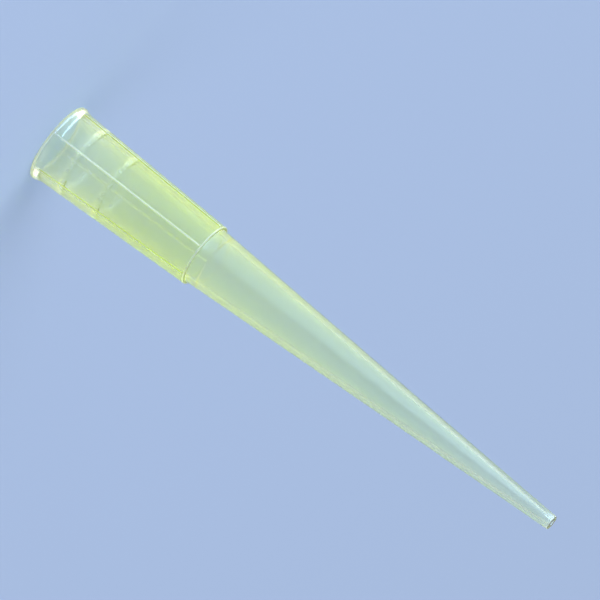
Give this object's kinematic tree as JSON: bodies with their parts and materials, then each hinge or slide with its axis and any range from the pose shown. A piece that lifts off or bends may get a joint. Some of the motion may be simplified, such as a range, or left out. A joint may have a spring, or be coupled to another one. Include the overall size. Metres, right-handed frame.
{
  "type": "pipette tip",
  "caption": "Slender conical pipette tip of translucent yellow plastic, with a flared mouth, a ribbed collar that ends in a step, and a long body tapering to a fine open point.",
  "frame": {"origin": "centre of the mouth, in the plane of the rim's end face on which the tip stands", "axes": "+Z along the tip's axis, from the mouth to the point"},
  "size_m": [0.0072, 0.0072, 0.053],
  "materials": {
    "yellow_plastic": "translucent yellow moulded polypropylene, satin to glossy, slightly hazy"
  },
  "bodies": {
    "root": {"pipette_tip": "yellow_plastic"}
  },
  "joints": []
}
